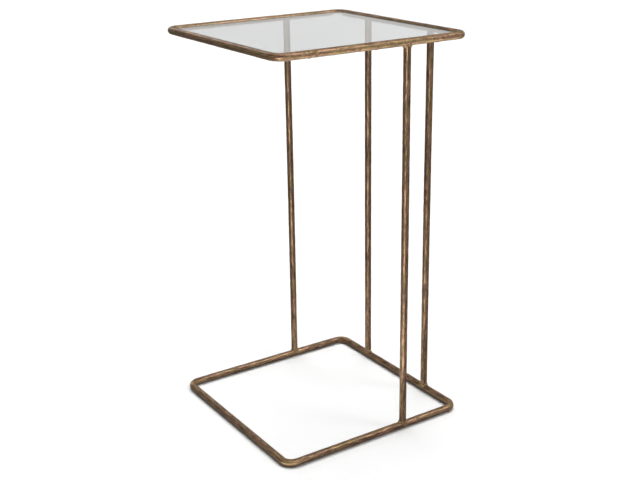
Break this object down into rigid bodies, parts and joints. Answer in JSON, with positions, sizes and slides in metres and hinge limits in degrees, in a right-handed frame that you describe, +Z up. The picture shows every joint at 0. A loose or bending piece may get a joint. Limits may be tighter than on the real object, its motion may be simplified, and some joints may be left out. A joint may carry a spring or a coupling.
{
  "type": "accent table",
  "caption": "C-shaped accent table: square loops of round rod as base and rim, upright rods at the sides and back, an open front and an inset clear glass top.",
  "frame": {"origin": "on the floor, under the middle of the table's footprint", "axes": "+Z up; -Y is the open side, which slides over a seat; +Y is the back rail with two uprights; +X is to the right seen from the open side"},
  "size_m": [0.358, 0.357, 0.66],
  "materials": {
    "patina_metal": "hand-rubbed antique brass patina on steel rod, mottled tan and dark brown, satin",
    "glass": "clear float glass, polished, eased edges, faint grey-green tint",
    "clear_bumper": "clear soft polyurethane",
    "clear_glide": "clear soft polyurethane, dulled"
  },
  "bodies": {
    "frame": {"base_ring": "patina_metal", "top_rim": "patina_metal", "side_leg_left": "patina_metal", "side_leg_right": "patina_metal", "back_leg_left": "patina_metal", "back_leg_right": "patina_metal", "leg_foot_welds": "patina_metal", "leg_top_welds": "patina_metal", "ledge_front": "patina_metal", "ledge_right": "patina_metal", "ledge_back": "patina_metal", "ledge_left": "patina_metal", "ledge_tack_welds": "patina_metal", "glass_bumpers": "clear_bumper", "floor_glides": "clear_glide"},
    "glass": {"glass_top": "glass"}
  },
  "joints": [
    {"name": "glass_lift", "type": "slide", "parent": "frame", "child": "glass", "axis": [0, 0, 1], "range_m": [0, 0.1]}
  ]
}
